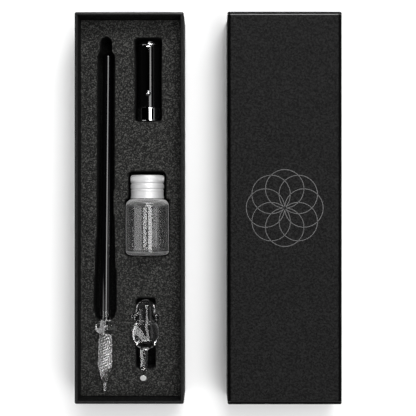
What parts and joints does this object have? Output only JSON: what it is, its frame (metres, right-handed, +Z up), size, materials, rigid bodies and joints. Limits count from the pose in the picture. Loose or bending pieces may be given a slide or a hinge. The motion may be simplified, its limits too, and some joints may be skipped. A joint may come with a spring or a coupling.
{
  "type": "glass dip pen set",
  "caption": "Black card gift box, lid off, with a glass dip pen, its nib cap, an ink vial and a glass pen rest lying in a foam insert.",
  "frame": {"origin": "middle of the tray's underside, on the surface that the tray and the lid rest on", "axes": "+X from the tray towards the lid, +Y along the box towards the pen's blunt end, +Z up"},
  "size_m": [0.1346, 0.1994, 0.03],
  "materials": {
    "black_paper": "embossed, satin",
    "greyboard": "matt",
    "black_foam": "open-cell foam, matt",
    "black_glass": "opaque black, polished",
    "clear_glass": "clear, polished",
    "black_lacquer": "gloss",
    "chrome": "mirror",
    "aluminium": "satin, rolled",
    "liner_foam": "matt"
  },
  "bodies": {
    "tray": {"tray_board": "greyboard", "tray_wrap": "black_paper", "foam_pad": "black_foam", "foam_insert": "black_foam"},
    "lid": {"lid_board": "greyboard", "lid_wrap": "black_paper"},
    "pen": {"pen_rod": "black_glass", "pen_ball": "clear_glass", "pen_nib": "clear_glass"},
    "nib_cap": {"nib_cap_barrel": "black_lacquer", "nib_cap_lip_band": "chrome", "nib_cap_ring": "chrome", "nib_cap_finial": "black_lacquer"},
    "clip": {"nib_cap_clip": "chrome"},
    "vial": {"vial_glass": "clear_glass"},
    "liner": {"vial_liner": "liner_foam"},
    "screw_cap": {"vial_screw_cap": "aluminium"},
    "rest": {"pen_rest": "clear_glass"}
  },
  "joints": [
    {"name": "lid_lift", "type": "slide", "parent": "tray", "child": "lid", "axis": [0, 0, 1], "range_m": [0, 0.06]},
    {"name": "pen_lift", "type": "slide", "parent": "tray", "child": "pen", "axis": [0, 0, 1], "range_m": [0, 0.06]},
    {"name": "nib_cap_lift", "type": "slide", "parent": "tray", "child": "nib_cap", "axis": [0, 0, 1], "range_m": [0, 0.06]},
    {"name": "clip_flex", "type": "hinge", "parent": "nib_cap", "child": "clip", "pos_m": [0.0089, 0.0833, 0.0202], "axis": [-1, 0, 0], "range_deg": [0, 4], "stiffness_Nm_per_rad": 0.05},
    {"name": "vial_lift", "type": "slide", "parent": "tray", "child": "vial", "axis": [0, 0, 1], "range_m": [0, 0.06]},
    {"name": "screw_cap_rise", "type": "slide", "parent": "vial", "child": "liner", "axis": [0, 1, 0], "range_m": [0, 0.0015]},
    {"name": "screw_cap_turn", "type": "hinge", "parent": "liner", "child": "screw_cap", "pos_m": [0.0083, 0.01, 0.0183], "axis": [0, 1, 0], "range_deg": [0, 255]},
    {"name": "rest_lift", "type": "slide", "parent": "tray", "child": "rest", "axis": [0, 0, 1], "range_m": [0, 0.06]}
  ],
  "couplings": [
    {"joint": "screw_cap_rise", "follows": "screw_cap_turn", "m_per_rad": 0.00033423}
  ]
}
